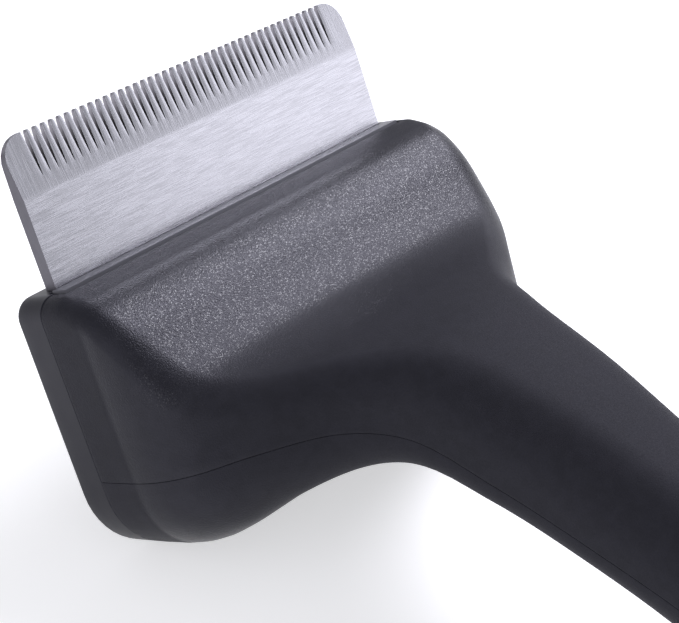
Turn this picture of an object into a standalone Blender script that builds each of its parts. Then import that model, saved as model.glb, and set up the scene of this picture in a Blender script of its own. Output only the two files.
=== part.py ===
"""Undercoat comb: a fine-toothed steel blade in a T-shaped head, a sliding hair ejector, a bent handle."""
import math

import bmesh
import bpy
from mathutils import Matrix, Vector

# The comb's own axes: X along the blade, T toward the tooth tips, N from the blade back to the handle.
MM = 0.001
BLADE_WIDTH = 45.0
BLADE_HEIGHT = 13.7
BLADE_THICK = 1.5
BLADE_TANG = 12.0
BEVEL_START = 8.2
TIP_THICK = 0.75
PITCH = BLADE_WIDTH / 47.3
SLOT_COUNT = 42
SLOT_WIDTH = 0.46
SLOT_ROOT = 9.5
SLOT_TAPER = 1.8
END_CORNER = 2.3

MOULD_LINE = -17.5
COVER_FRONT = -3.2
COVER_BACK = 0.5
COVER_EDGE = 0.6
BODY_FRONT = 0.6
PLATE_POCKET = 2.3
WALL = 1.8
SPLIT_GAP = 0.1

PLATE_FRONT = 0.15
PLATE_BACK = 2.0
PLATE_HALF = 23.1
PLATE_SHOULDER = -19.3
TONGUE_HALF = 14.0
TONGUE_END = -23.6
TRAVEL = 6.0

POST_X = 17.0
POST_T = -8.0
POST_RADIUS = 2.2
SPRING_X = 8.5
SPRING_N = 6.6
SPRING_LOW = -19.9
SPRING_HIGH = -6.6
SPRING_COIL = 1.75
SPRING_WIRE = 0.22
SPRING_TURNS = 7

STEM_LOW = -22.8
STEM_HIGH = -19.6
STEM_HALF = 6.2
SLIDER_HALF = 8.2
SLIDER_LOW = -24.0
SLIDER_HIGH = -12.8
SLIDER_FACE = -6.2

SLEEVE_START = 55.0
SLEEVE_END = 93.0
SLEEVE_DEPTH = 1.4
SHELL_END = 94.0
CAP_END = 106.0
HANG_N = 99.6
HANG_RADIUS = 3.2

REST_TILT = math.radians(32.535)

for old in list(bpy.data.objects):
    bpy.data.objects.remove(old, do_unlink=True)

scene = bpy.context.scene
comb_parts = bpy.data.collections.new("dematting_comb")
cutters = bpy.data.collections.new("comb_cutters")
scene.collection.children.link(comb_parts)
scene.collection.children.link(cutters)

rest = bpy.data.objects.new("comb_rest", None)
comb_parts.objects.link(rest)
ejector_slide = bpy.data.objects.new("ejector_slide", None)
comb_parts.objects.link(ejector_slide)
ejector_slide.parent = rest


def at(x, n, t):
    """A point given along the comb's own axes, in metres."""
    return Vector((x * MM, -n * MM, t * MM))


def material(name, colour, metallic, roughness):
    mat = bpy.data.materials.new(name)
    mat.use_nodes = True
    shader = mat.node_tree.nodes["Principled BSDF"]
    shader.inputs["Base Color"].default_value = (*colour, 1.0)
    shader.inputs["Metallic"].default_value = metallic
    shader.inputs["Roughness"].default_value = roughness
    mat.diffuse_color = (*colour, 1.0)
    return mat


SHELL_PLASTIC = material("shell_plastic", (0.045, 0.045, 0.055), 0.0, 0.55)
COVER_PLASTIC = material("cover_plastic", (0.035, 0.035, 0.042), 0.0, 0.5)
EJECTOR_PLASTIC = material("ejector_plastic", (0.07, 0.07, 0.08), 0.0, 0.45)
BUTTON_PLASTIC = material("button_plastic", (0.09, 0.09, 0.1), 0.0, 0.5)
BLADE_STEEL = material("blade_steel", (0.62, 0.62, 0.63), 1.0, 0.32)
SCREW_STEEL = material("screw_steel", (0.5, 0.5, 0.52), 1.0, 0.35)
SPRING_STEEL = material("spring_steel", (0.45, 0.46, 0.48), 1.0, 0.3)
GRIP_RUBBER = material("grip_rubber", (0.02, 0.02, 0.024), 0.0, 0.8)


def finish(name, bm, mat, parent=rest, cutter=False):
    """Turn a bmesh into a named object with its faces outward."""
    bmesh.ops.recalc_face_normals(bm, faces=bm.faces[:])
    mesh = bpy.data.meshes.new(name)
    bm.to_mesh(mesh)
    bm.free()
    obj = bpy.data.objects.new(name, mesh)
    obj.parent = parent
    if cutter:
        cutters.objects.link(obj)
        obj.hide_render = True
        obj.display_type = "WIRE"
    else:
        comb_parts.objects.link(obj)
        mesh.materials.append(mat)
    return obj


def boolean(obj, operation, tool):
    mod = obj.modifiers.new(operation.lower(), "BOOLEAN")
    mod.operation = operation
    mod.solver = "EXACT"
    mod.object = tool
    return mod


def soften(obj, width, segments=2, angle=40.0):
    mod = obj.modifiers.new("soften", "BEVEL")
    mod.width = width * MM
    mod.segments = segments
    mod.limit_method = "ANGLE"
    mod.angle_limit = math.radians(angle)
    return mod


def skin(bm, rings, close_ring=True):
    """Join equal rings of verts with quads, one after the other."""
    for low, high in zip(rings, rings[1:]):
        count = len(low)
        for k in range(count if close_ring else count - 1):
            m = (k + 1) % count
            bm.faces.new((low[k], low[m], high[m], high[k]))


def add_loft(bm, rings):
    """Closed solid through rings of points, with a flat face at each end."""
    verts = [[bm.verts.new(p) for p in ring] for ring in rings]
    skin(bm, verts)
    bm.faces.new(verts[0])
    bm.faces.new(verts[-1])


def add_wall(bm, outer, inner):
    """Open wall between two stacks of arcs, closed at its edges and ends."""
    rings = []
    for out_arc, in_arc in zip(outer, inner):
        rings.append([bm.verts.new(p) for p in out_arc + in_arc[::-1]])
    skin(bm, rings)
    half = len(outer[0])
    for ring in (rings[0], rings[-1]):
        for k in range(half - 1):
            bm.faces.new((ring[k], ring[k + 1], ring[-2 - k], ring[-1 - k]))


def add_turned(bm, base, axis, profile, sides=20):
    """Solid of revolution: profile holds (radius, distance along the axis, lobe depth)."""
    axis = axis.normalized()
    side = axis.orthogonal().normalized()
    other = axis.cross(side)
    rings = []
    for radius, along, lobe in profile:
        ring = []
        for k in range(sides):
            a = 2 * math.pi * k / sides
            r = radius * (1 + lobe * math.cos(4 * a)) * MM
            ring.append(base + axis * along * MM + (side * math.cos(a) + other * math.sin(a)) * r)
        rings.append(ring)
    add_loft(bm, rings)


def add_rod(bm, base, axis, radius, length, sides=20):
    add_turned(bm, base, axis, [(radius, 0, 0), (radius, length, 0)], sides)


def add_box(bm, low, high):
    """Box between two corners given as (x, n, t)."""
    ring = [(low[0], low[1]), (high[0], low[1]), (high[0], high[1]), (low[0], high[1])]
    add_loft(bm, [[at(x, n, t) for x, n in ring] for t in (low[2], high[2])])


# Stations along the mould line: N, T, tilt, half width, rise above the line, drop below it,
# upper and lower corner radius, and the crown of the upper and lower face.
STATION = {
    "n": (0.6, 5.0, 6.6, 8.2, 10.0, 11.8, 14.5, 18.5, 23.0, 30.0, 38.0, 47.0, 56.0, 75.0, 94.0, 106.0),
    "t": (-17.5, -17.5, -17.5, -17.5, -17.5, -17.5, -17.6, -18.4, -20.4, -25.4, -31.6, -38.8, -46.7,
          -63.0, -77.8, -86.3),
    "tilt": (0.0, 0.0, 0.0, 0.5, 1.5, 3.0, 7.0, 17.0, 28.0, 36.0, 39.0, 41.0, 41.0, 39.0, 36.5, 34.5),
    "half": (25.5, 25.4, 25.3, 25.0, 24.3, 23.0, 19.4, 13.4, 9.8, 8.4, 7.5, 7.0, 7.1, 10.0, 9.2, 8.6),
    "rise": (17.3, 16.8, 15.7, 13.7, 10.8, 8.3, 6.5, 6.1, 6.9, 7.2, 6.5, 6.1, 6.3, 8.6, 8.0, 7.4),
    "drop": (8.8, 8.7, 8.5, 8.1, 7.5, 6.8, 5.7, 4.7, 3.8, 3.1, 3.0, 3.7, 5.2, 8.2, 7.6, 7.0),
    "top_r": (1.4, 1.8, 2.3, 2.8, 3.0, 3.0, 3.2, 3.6, 4.2, 4.8, 5.1, 5.2, 5.2, 6.0, 6.0, 5.6),
    "low_r": (7.4, 7.4, 7.2, 6.8, 6.2, 5.6, 4.8, 3.9, 3.2, 2.9, 2.9, 3.5, 4.4, 6.2, 6.0, 5.6),
    "crown": (0.0, 0.0, 0.0, 0.1, 0.2, 0.3, 0.5, 0.8, 1.0, 1.0, 1.0, 1.0, 1.0, 1.2, 1.0, 0.8),
}


def station(n):
    """Section sizes at a distance N, from smooth curves through the stations."""
    xs = STATION["n"]
    i = max(0, min(len(xs) - 2, sum(1 for x in xs if x <= n) - 1))
    h = xs[i + 1] - xs[i]
    s = (n - xs[i]) / h
    row = {"n": n}
    for key, ys in STATION.items():
        if key == "n":
            continue
        before = ys[i] - ys[i - 1] if i > 0 else ys[i + 1] - ys[i]
        span_a = xs[i] - xs[i - 1] if i > 0 else h
        after = ys[i + 2] - ys[i + 1] if i + 2 < len(ys) else ys[i + 1] - ys[i]
        span_b = xs[i + 2] - xs[i + 1] if i + 2 < len(ys) else h
        here = (ys[i + 1] - ys[i]) / h
        slope_a = 0.5 * (before / span_a + here) if before * here > 0 else 0.0
        slope_b = 0.5 * (after / span_b + here) if after * here > 0 else 0.0
        a = 2 * s ** 3 - 3 * s ** 2 + 1
        b = s ** 3 - 2 * s ** 2 + s
        c = 3 * s ** 2 - 2 * s ** 3
        d = s ** 3 - s ** 2
        row[key] = a * ys[i] + b * h * slope_a + c * ys[i + 1] + d * h * slope_b
    return row


def half_outline(row, inset, upper, gap, side_pts=2, corner_pts=4, face_pts=5):
    """Half of a section, from its right edge at the mould line round to its left edge."""
    w = row["half"] - inset
    h = (row["rise"] if upper else row["drop"]) - inset
    r = max(0.5, (row["top_r"] if upper else row["low_r"]) - inset)
    right = []
    for k in range(side_pts):
        right.append((w, gap + (h - r - gap) * k / side_pts))
    for k in range(corner_pts + 1):
        a = 0.5 * math.pi * k / corner_pts
        right.append((w - r + r * math.cos(a), h - r + r * math.sin(a)))
    face = [((w - r) * (1 - 2 * k / face_pts), h) for k in range(1, face_pts)]
    outline = right + face + [(-u, v) for u, v in reversed(right)]
    sign = 1 if upper else -1
    shaped = []
    for u, v in outline:
        lift = row["crown"] * (1 - (u / w) ** 2) * max(0.0, v - gap) / (h - gap)
        shaped.append((u, sign * (v + lift)))
    return shaped


def on_section(row, u, v):
    tilt = math.radians(row["tilt"])
    return at(u, row["n"] + v * math.sin(tilt), row["t"] + v * math.cos(tilt))


def section_up(row):
    tilt = math.radians(row["tilt"])
    return Vector((0.0, -math.sin(tilt), math.cos(tilt)))


def full_ring(row, inset, gap=0.0):
    upper = half_outline(row, inset, True, gap)
    lower = half_outline(row, inset, False, gap)[::-1][1:-1]
    return [on_section(row, u, v) for u, v in upper + lower]


def steps(start, end, count):
    return [start + (end - start) * k / count for k in range(count + 1)]


HEAD_STEPS = steps(BODY_FRONT, 5.0, 3) + steps(6.0, 23.0, 14) + steps(25.5, SLEEVE_START, 8)
GRIP_STEPS = [SLEEVE_START + 0.02] + steps(SLEEVE_START + 5.0, SHELL_END, 6)
BODY_STEPS = [(n, 0.0) for n in HEAD_STEPS] + [(n, SLEEVE_DEPTH) for n in GRIP_STEPS]


def shell_half(name, upper):
    bm = bmesh.new()
    outer = []
    inner = []
    for n, inset in BODY_STEPS:
        row = station(n)
        wall = WALL + min(SLEEVE_DEPTH, max(0.0, n - SLEEVE_START + 5.0) * 0.3)
        outer.append([on_section(row, u, v) for u, v in half_outline(row, inset, upper, SPLIT_GAP)])
        inner.append([on_section(row, u, v) for u, v in half_outline(row, wall, upper, SPLIT_GAP)])
    add_wall(bm, outer, inner)
    return finish(name, bm, SHELL_PLASTIC)


# Solid body used to trim posts so that they end inside the wall.
bm = bmesh.new()
add_loft(bm, [full_ring(station(n), inset + WALL * 0.5) for n, inset in BODY_STEPS])
body_core = finish("body_core", bm, None, cutter=True)

inner_shell = shell_half("inner_shell", True)
outer_shell = shell_half("outer_shell", False)

FORWARD = at(0, -1, 0)
REAR = at(0, 1, 0)
UP = at(0, 0, 1)
SHELL_SCREWS = (("shell_screw_front", 27.0), ("shell_screw_middle", 62.0), ("shell_screw_rear", 82.0))
CAP_SCREW_N = 90.0

# Posts of the inner shell: three for the cover screws, two spring seats, three for the shell screws.
bm = bmesh.new()
for x in (-POST_X, 0.0, POST_X):
    add_rod(bm, at(x, 0.1, POST_T), REAR, POST_RADIUS, 20)
for x in (-SPRING_X, SPRING_X):
    add_rod(bm, at(x, SPRING_N, SPRING_HIGH + 0.15), UP, 2.4, 10)
for _, n in SHELL_SCREWS:
    row = station(n)
    add_rod(bm, on_section(row, 0, 0.2), section_up(row), 2.7, 15)
inner_posts = finish("inner_posts", bm, None, cutter=True)
boolean(inner_posts, "INTERSECT", body_core)
boolean(inner_shell, "UNION", inner_posts)

bm = bmesh.new()
for x in (-POST_X, 0.0, POST_X):
    add_rod(bm, at(x, -1.0, POST_T), REAR, 1.15, 7.6, 16)
for _, n in SHELL_SCREWS:
    row = station(n)
    add_rod(bm, on_section(row, 0, -1), section_up(row), 1.15, 5.6, 16)
inner_holes = finish("inner_holes", bm, None, cutter=True)
boolean(inner_shell, "DIFFERENCE", inner_holes)

# The ejector plate rises through a pocket in the inner shell's front rim.
bm = bmesh.new()
add_box(bm, (-PLATE_HALF - 0.3, -1.0, -4.0), (PLATE_HALF + 0.3, PLATE_POCKET, 3.0))
rim_pocket = finish("rim_pocket", bm, None, cutter=True)
boolean(inner_shell, "DIFFERENCE", rim_pocket)

# Posts of the outer shell, bored for the shell screws.
bm = bmesh.new()
for _, n in SHELL_SCREWS:
    row = station(n)
    add_rod(bm, on_section(row, 0, -0.2), -section_up(row), 3.6, 15)
outer_posts = finish("outer_posts", bm, None, cutter=True)
boolean(outer_posts, "INTERSECT", body_core)
boolean(outer_shell, "UNION", outer_posts)

SCREW_SEAT = 1.2
bm = bmesh.new()
for _, n in SHELL_SCREWS:
    row = station(n)
    inset = SLEEVE_DEPTH if n > SLEEVE_START else 0.0
    depth = row["drop"] + row["crown"] - inset - SCREW_SEAT
    profile = [(1.35, 1.0, 0), (1.35, -depth + 1.6, 0), (2.6, -depth, 0), (2.6, -depth - 6, 0)]
    add_turned(bm, on_section(row, 0, 0), section_up(row), profile)
row = station(CAP_SCREW_N)
depth = row["drop"] + row["crown"] - SLEEVE_DEPTH - 0.1
profile = [(1.35, -3.0, 0), (1.35, -depth + 1.5, 0), (2.4, -depth + 0.1, 0), (2.4, -depth - 4, 0)]
add_turned(bm, on_section(row, 0, 0), section_up(row), profile)
outer_holes = finish("outer_holes", bm, None, cutter=True)
boolean(outer_shell, "DIFFERENCE", outer_holes)

# Front cover: flat outer face with a softened rim, stepped pocket for blade and ejector plate.
bm = bmesh.new()
front_row = dict(station(BODY_FRONT), rise=-MOULD_LINE)
rings = []
for k in (3, 2, 1, 0):
    a = 0.5 * math.pi * k / 3
    back = COVER_FRONT + COVER_EDGE * (1 - math.sin(a))
    inset = COVER_EDGE * (1 - math.cos(a))
    rings.append(full_ring(dict(front_row, n=back), inset))
rings.append(full_ring(dict(front_row, n=COVER_BACK), 0.0))
add_loft(bm, rings)
front_cover = finish("front_cover", bm, COVER_PLASTIC)

bm = bmesh.new()
pocket = [(PLATE_HALF + 0.3, 3.0), (PLATE_HALF + 0.3, PLATE_SHOULDER - 0.4), (TONGUE_HALF + 0.3, PLATE_SHOULDER - 0.4)]
pocket += [(TONGUE_HALF + 0.3, TONGUE_END - 0.5)]
pocket += [(-x, t) for x, t in reversed(pocket)]
add_loft(bm, [[at(x, n, t) for x, t in pocket] for n in (0.0, 4.0)])
blade_half = BLADE_WIDTH / 2 + 0.1
tray = [(blade_half, 3.0), (blade_half, -BLADE_TANG - 0.1), (-blade_half, -BLADE_TANG - 0.1), (-blade_half, 3.0)]
cover_pocket = finish("cover_pocket", bm, None, cutter=True)
boolean(front_cover, "DIFFERENCE", cover_pocket)
bm = bmesh.new()
add_loft(bm, [[at(x, n, t) for x, t in tray] for n in (-BLADE_THICK - 0.02, 0.5)])
blade_tray = finish("blade_tray", bm, None, cutter=True)
boolean(front_cover, "DIFFERENCE", blade_tray)
bm = bmesh.new()
for x in (-POST_X, 0.0, POST_X):
    profile = [(2.35, -4.5, 0), (2.35, COVER_FRONT + 0.2, 0), (1.3, COVER_FRONT + 1.2, 0), (1.3, 1.0, 0)]
    add_turned(bm, at(x, 0, POST_T), REAR, profile)
add_box(bm, (-STEM_HALF - 0.4, -6.0, STEM_LOW - 0.4), (STEM_HALF + 0.4, 1.0, STEM_HIGH + TRAVEL + 0.4))
cover_holes = finish("cover_holes", bm, None, cutter=True)
boolean(front_cover, "DIFFERENCE", cover_holes)

# Blade outline: narrow teeth between slots, a wide rounded tooth at each end.
half = BLADE_WIDTH / 2
outline = [(-half, -BLADE_TANG), (-half, BLADE_HEIGHT - END_CORNER)]
for k in range(1, 6):
    a = math.pi - 0.5 * math.pi * k / 5
    outline.append((-half + END_CORNER + END_CORNER * math.cos(a),
                    BLADE_HEIGHT - END_CORNER + END_CORNER * math.sin(a)))
first = -PITCH * (SLOT_COUNT - 1) / 2
for k in range(SLOT_COUNT):
    x = first + k * PITCH
    left = x - SLOT_WIDTH / 2
    right = x + SLOT_WIDTH / 2
    nose = (PITCH - SLOT_WIDTH) * 0.3
    outline += [(left - nose, BLADE_HEIGHT), (left, BLADE_HEIGHT - 0.35), (left, SLOT_ROOT + SLOT_TAPER)]
    outline += [(x, SLOT_ROOT), (right, SLOT_ROOT + SLOT_TAPER), (right, BLADE_HEIGHT - 0.35)]
    outline.append((right + nose, BLADE_HEIGHT))
for k in range(5):
    a = 0.5 * math.pi - 0.5 * math.pi * k / 5
    outline.append((half - END_CORNER + END_CORNER * math.cos(a),
                    BLADE_HEIGHT - END_CORNER + END_CORNER * math.sin(a)))
outline += [(half, BLADE_HEIGHT - END_CORNER), (half, -BLADE_TANG)]
bm = bmesh.new()
add_loft(bm, [[at(x, n, t) for x, t in outline] for n in (-BLADE_THICK, 0.0)])
blade = finish("blade", bm, BLADE_STEEL)
bm = bmesh.new()
slope = (BLADE_THICK - TIP_THICK) / (BLADE_HEIGHT - BEVEL_START)
wedge = [(0.0, BEVEL_START), (-slope * (16.0 - BEVEL_START), 16.0), (1.0, 16.0), (1.0, BEVEL_START)]
add_loft(bm, [[at(x, n, t) for n, t in wedge] for x in (-30.0, 30.0)])
for x in (-POST_X, 0.0, POST_X):
    add_rod(bm, at(x, -3.0, POST_T), REAR, 1.3, 6.0, 16)
blade_cuts = finish("blade_cuts", bm, None, cutter=True)
boolean(blade, "DIFFERENCE", blade_cuts)

# Ejector plate: slides up behind the blade on three slots that ride over the cover posts.
plate = [(PLATE_HALF, 0.0), (PLATE_HALF, PLATE_SHOULDER), (TONGUE_HALF, PLATE_SHOULDER), (TONGUE_HALF, TONGUE_END)]
plate += [(-x, t) for x, t in reversed(plate)]
bm = bmesh.new()
add_loft(bm, [[at(x, n, t) for x, t in plate] for n in (PLATE_FRONT, PLATE_BACK)])
ejector_plate = finish("ejector_plate", bm, EJECTOR_PLASTIC, ejector_slide)
bm = bmesh.new()
slot_top = POST_T
slot_low = POST_T - TRAVEL
slot_r = POST_RADIUS + 0.3
for x in (-POST_X, 0.0, POST_X):
    ring = []
    for k in range(9):
        a = math.pi * k / 8
        ring.append((x + slot_r * math.cos(a), slot_top + slot_r * math.sin(a)))
    for k in range(9):
        a = math.pi + math.pi * k / 8
        ring.append((x + slot_r * math.cos(a), slot_low + slot_r * math.sin(a)))
    add_loft(bm, [[at(u, n, t) for u, t in ring] for n in (-1.0, 4.0)])
LINK_X = 4.0
LINK_T = (STEM_LOW + STEM_HIGH) / 2
for x in (-LINK_X, LINK_X):
    add_rod(bm, at(x, -2.0, LINK_T), REAR, 0.95, 8.0, 16)
plate_slots = finish("plate_slots", bm, None, cutter=True)
boolean(ejector_plate, "DIFFERENCE", plate_slots)

# Carrier behind the plate: a bar with two spring pins, clamped to the slider by two link screws.
bm = bmesh.new()
add_box(bm, (-13.5, PLATE_BACK + 0.1, TONGUE_END + 0.1), (13.5, 9.4, -20.1))
ejector_carrier = finish("ejector_carrier", bm, EJECTOR_PLASTIC, ejector_slide)
bm = bmesh.new()
for x in (-SPRING_X, SPRING_X):
    add_rod(bm, at(x, SPRING_N, -21.0), UP, 1.2, 6.0, 16)
carrier_pins = finish("carrier_pins", bm, None, cutter=True)
boolean(ejector_carrier, "UNION", carrier_pins)
bm = bmesh.new()
for x in (-LINK_X, LINK_X):
    profile = [(0.95, -1.0, 0), (0.95, 3.9, 0), (1.7, 3.95, 0), (1.7, 12.0, 0)]
    add_turned(bm, at(x, 0, LINK_T), REAR, profile, 16)
carrier_holes = finish("carrier_holes", bm, None, cutter=True)
boolean(ejector_carrier, "DIFFERENCE", carrier_holes)

# Thumb slider on the front of the cover; its stem runs through the cover's window to the plate.
bm = bmesh.new()
add_box(bm, (-SLIDER_HALF, SLIDER_FACE, SLIDER_LOW), (SLIDER_HALF, COVER_FRONT - 0.3, SLIDER_HIGH))
thumb_slider = finish("thumb_slider", bm, BUTTON_PLASTIC, ejector_slide)
soften(thumb_slider, 0.9)
bm = bmesh.new()
add_box(bm, (-STEM_HALF, COVER_FRONT - 1.5, STEM_LOW), (STEM_HALF, PLATE_FRONT - 0.05, STEM_HIGH))
slider_stem = finish("slider_stem", bm, None, cutter=True)
boolean(thumb_slider, "UNION", slider_stem)
bm = bmesh.new()
for k in range(5):
    t = SLIDER_LOW + 2.15 + 1.8 * k
    groove = [(SLIDER_FACE - 1.0, t - 0.9), (SLIDER_FACE - 1.0, t + 0.9), (SLIDER_FACE + 0.7, t)]
    add_loft(bm, [[at(x, n, u) for n, u in groove] for x in (-SLIDER_HALF - 1, SLIDER_HALF + 1)])
for x in (-LINK_X, LINK_X):
    add_rod(bm, at(x, -2.6, LINK_T), REAR, 0.95, 5.0, 16)
slider_cuts = finish("slider_cuts", bm, None, cutter=True)
boolean(thumb_slider, "DIFFERENCE", slider_cuts)


def screw(name, base, axis, head, parent=rest):
    """Countersunk screw with a lobed recess: head holds radius, depth, shank radius, length."""
    r, depth, shank, length = head
    profile = [(0.55 * shank, 0.7, 0.0), (0.8 * shank, 0.0, 0.12), (r, 0.0, 0.0), (r, 0.15, 0.0)]
    profile += [(shank, depth, 0.0), (shank, length - 0.8, 0.0), (0.4 * shank, length, 0.0)]
    bm = bmesh.new()
    add_turned(bm, base, axis, profile, 16)
    return finish(name, bm, SCREW_STEEL, parent)


for label, x in (("left", -POST_X), ("centre", 0.0), ("right", POST_X)):
    screw("cover_screw_" + label, at(x, COVER_FRONT + 0.1, POST_T), REAR, (2.1, 1.15, 0.95, 9.0))
for label, x in (("left", -LINK_X), ("right", LINK_X)):
    screw("link_screw_" + label, at(x, 5.6, LINK_T), -REAR, (1.5, 1.4, 0.75, 7.8), ejector_slide)
for name, n in SHELL_SCREWS:
    row = station(n)
    inset = SLEEVE_DEPTH if n > SLEEVE_START else 0.0
    depth = row["drop"] + row["crown"] - inset - SCREW_SEAT
    screw(name, on_section(row, 0, -depth - 0.1), section_up(row), (2.3, 1.5, 0.95, depth + 4.0))
row = station(CAP_SCREW_N)
depth = row["drop"] + row["crown"] - SLEEVE_DEPTH - 0.1
screw("end_cap_screw", on_section(row, 0, -depth), section_up(row), (2.1, 1.3, 0.95, depth - 0.6))

# Return springs between carrier and inner shell, drawn as open coils with flat-lying ends.
for label, x in (("left", -SPRING_X), ("right", SPRING_X)):
    bm = bmesh.new()
    count = SPRING_TURNS * 12
    low = SPRING_LOW + SPRING_WIRE + 0.1
    high = SPRING_HIGH - SPRING_WIRE - 0.1
    rings = []
    for k in range(count + 1):
        s = k / count
        a = 2 * math.pi * SPRING_TURNS * s
        out = Vector((math.cos(a), math.sin(a), 0.0))
        centre = at(x, SPRING_N, low + (high - low) * s) + out * SPRING_COIL * MM
        ring = []
        for m in range(6):
            b = 2 * math.pi * m / 6
            ring.append(centre + (out * math.cos(b) + Vector((0, 0, 1)) * math.sin(b)) * SPRING_WIRE * MM)
        rings.append(ring)
    add_loft(bm, rings)
    finish("return_spring_" + label, bm, SPRING_STEEL)

# Grip sleeve over the recessed part of the handle.
bm = bmesh.new()
grip_rows = [(SLEEVE_START + 0.25, 0.6), (SLEEVE_START + 0.9, 0.05)]
grip_rows += [(n, 0.0) for n in steps(SLEEVE_START + 6.0, SLEEVE_END - 3.0, 6)]
grip_rows += [(SLEEVE_END - 0.6, 0.05), (SLEEVE_END, 0.5)]
outer_rings = [[bm.verts.new(p) for p in full_ring(station(n), inset)] for n, inset in grip_rows]
inner_rings = [[bm.verts.new(p) for p in full_ring(station(n), SLEEVE_DEPTH - 0.2)] for n, _ in grip_rows]
skin(bm, outer_rings + inner_rings[::-1] + [outer_rings[0]])
grip_sleeve = finish("grip_sleeve", bm, GRIP_RUBBER)

# End cap: a spigot inside the shell and a rounded butt with a hanging hole.
bm = bmesh.new()
rings = []
spigot = WALL + SLEEVE_DEPTH + 0.25
for n in (SHELL_END - 7.0, SHELL_END + 0.3):
    rings.append(full_ring(station(n), spigot))
rings.append(full_ring(station(SHELL_END + 0.32), 0.5))
rings.append(full_ring(station(SHELL_END + 0.9), 0.0))
dome_start = CAP_END - 6.0
for n in steps(SHELL_END + 3.0, dome_start, 2):
    rings.append(full_ring(station(n), 0.0))
for k in range(1, 6):
    a = 0.5 * math.pi * k / 5.6
    rings.append(full_ring(station(dome_start + 6.0 * math.sin(a)), 5.4 * (1 - math.cos(a))))
add_loft(bm, rings)
end_cap = finish("end_cap", bm, COVER_PLASTIC)
bm = bmesh.new()
row = station(HANG_N)
add_rod(bm, on_section(row, -20, 0), at(1, 0, 0), HANG_RADIUS, 40, 24)
row = station(CAP_SCREW_N)
add_rod(bm, on_section(row, 0, -12), section_up(row), 1.15, 14, 16)
cap_holes = finish("cap_holes", bm, None, cutter=True)
boolean(end_cap, "DIFFERENCE", cap_holes)

# Lay the comb on its back: head's lower edge and butt on the floor, box centred on the origin.
rest.rotation_euler = (-REST_TILT, 0.0, 0.0)
bpy.context.view_layer.update()
turn = Matrix.Rotation(-REST_TILT, 4, "X")
graph = bpy.context.evaluated_depsgraph_get()
low = [1.0, 1.0, 1.0]
high = [-1.0, -1.0, -1.0]
for obj in comb_parts.objects:
    if obj.type != "MESH":
        continue
    shape = obj.evaluated_get(graph)
    for vert in shape.data.vertices:
        p = turn @ vert.co
        for k in range(3):
            low[k] = min(low[k], p[k])
            high[k] = max(high[k], p[k])
rest.location = (0.0, -0.5 * (low[1] + high[1]), -low[2])
bpy.context.view_layer.update()
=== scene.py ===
"""Undercoat comb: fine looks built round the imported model, as an add-on that runs as a script."""

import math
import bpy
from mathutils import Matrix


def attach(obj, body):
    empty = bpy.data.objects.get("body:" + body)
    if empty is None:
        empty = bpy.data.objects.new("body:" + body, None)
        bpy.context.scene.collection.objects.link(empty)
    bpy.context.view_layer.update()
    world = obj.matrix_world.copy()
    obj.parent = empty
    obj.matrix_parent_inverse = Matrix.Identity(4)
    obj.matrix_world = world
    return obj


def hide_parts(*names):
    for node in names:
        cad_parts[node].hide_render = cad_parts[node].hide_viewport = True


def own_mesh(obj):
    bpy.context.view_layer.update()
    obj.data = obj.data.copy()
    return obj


bl_info = {
    "name": "Undercoat Comb",
    "version": (1, 0, 0),
    "blender": (4, 5, 0),
    "location": "View3D > Sidebar > Comb",
    "description": "Undercoat comb with a fine-toothed blade, a hair ejector and a bent handle",
    "category": "Object",
}

import bpy
from mathutils import Euler, Matrix, Vector

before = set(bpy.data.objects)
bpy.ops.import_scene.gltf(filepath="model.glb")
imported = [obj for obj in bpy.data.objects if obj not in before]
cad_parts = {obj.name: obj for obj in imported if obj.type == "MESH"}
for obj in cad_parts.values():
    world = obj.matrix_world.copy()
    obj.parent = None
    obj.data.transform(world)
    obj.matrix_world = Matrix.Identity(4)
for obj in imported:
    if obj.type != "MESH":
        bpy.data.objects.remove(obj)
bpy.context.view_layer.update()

# The comb's own axes: X along the blade, T toward the tooth tips, N from the blade to the handle.
MM = 0.001
TILT = math.radians(32.535)
REST_POINT = Vector((0.0, 0.06358461, 0.02366450))
TURN = Matrix.Rotation(-TILT, 3, "X")
HANDLE = "handle"
EJECTOR = "ejector"

# Places that several pieces share, in millimetres.
BODY_FRONT = 0.55
COVER_FRONT = -3.2
COVER_SCREW_X = (-17.0, 0.0, 17.0)
COVER_SCREW_T = -8.0
PLATE_POCKET_X = 23.4
SLEEVE_START = 55.0
SLEEVE_END = 93.0
SLEEVE_DEPTH = 1.4
SHELL_END = 94.0
WALL = 1.8
SHELL_SCREW_N = (27.0, 62.0, 82.0)
HANG_N = 99.6
HANG_RADIUS = 3.2
SPRING_TOP = (0.0, 6.6, -6.6)

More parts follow.
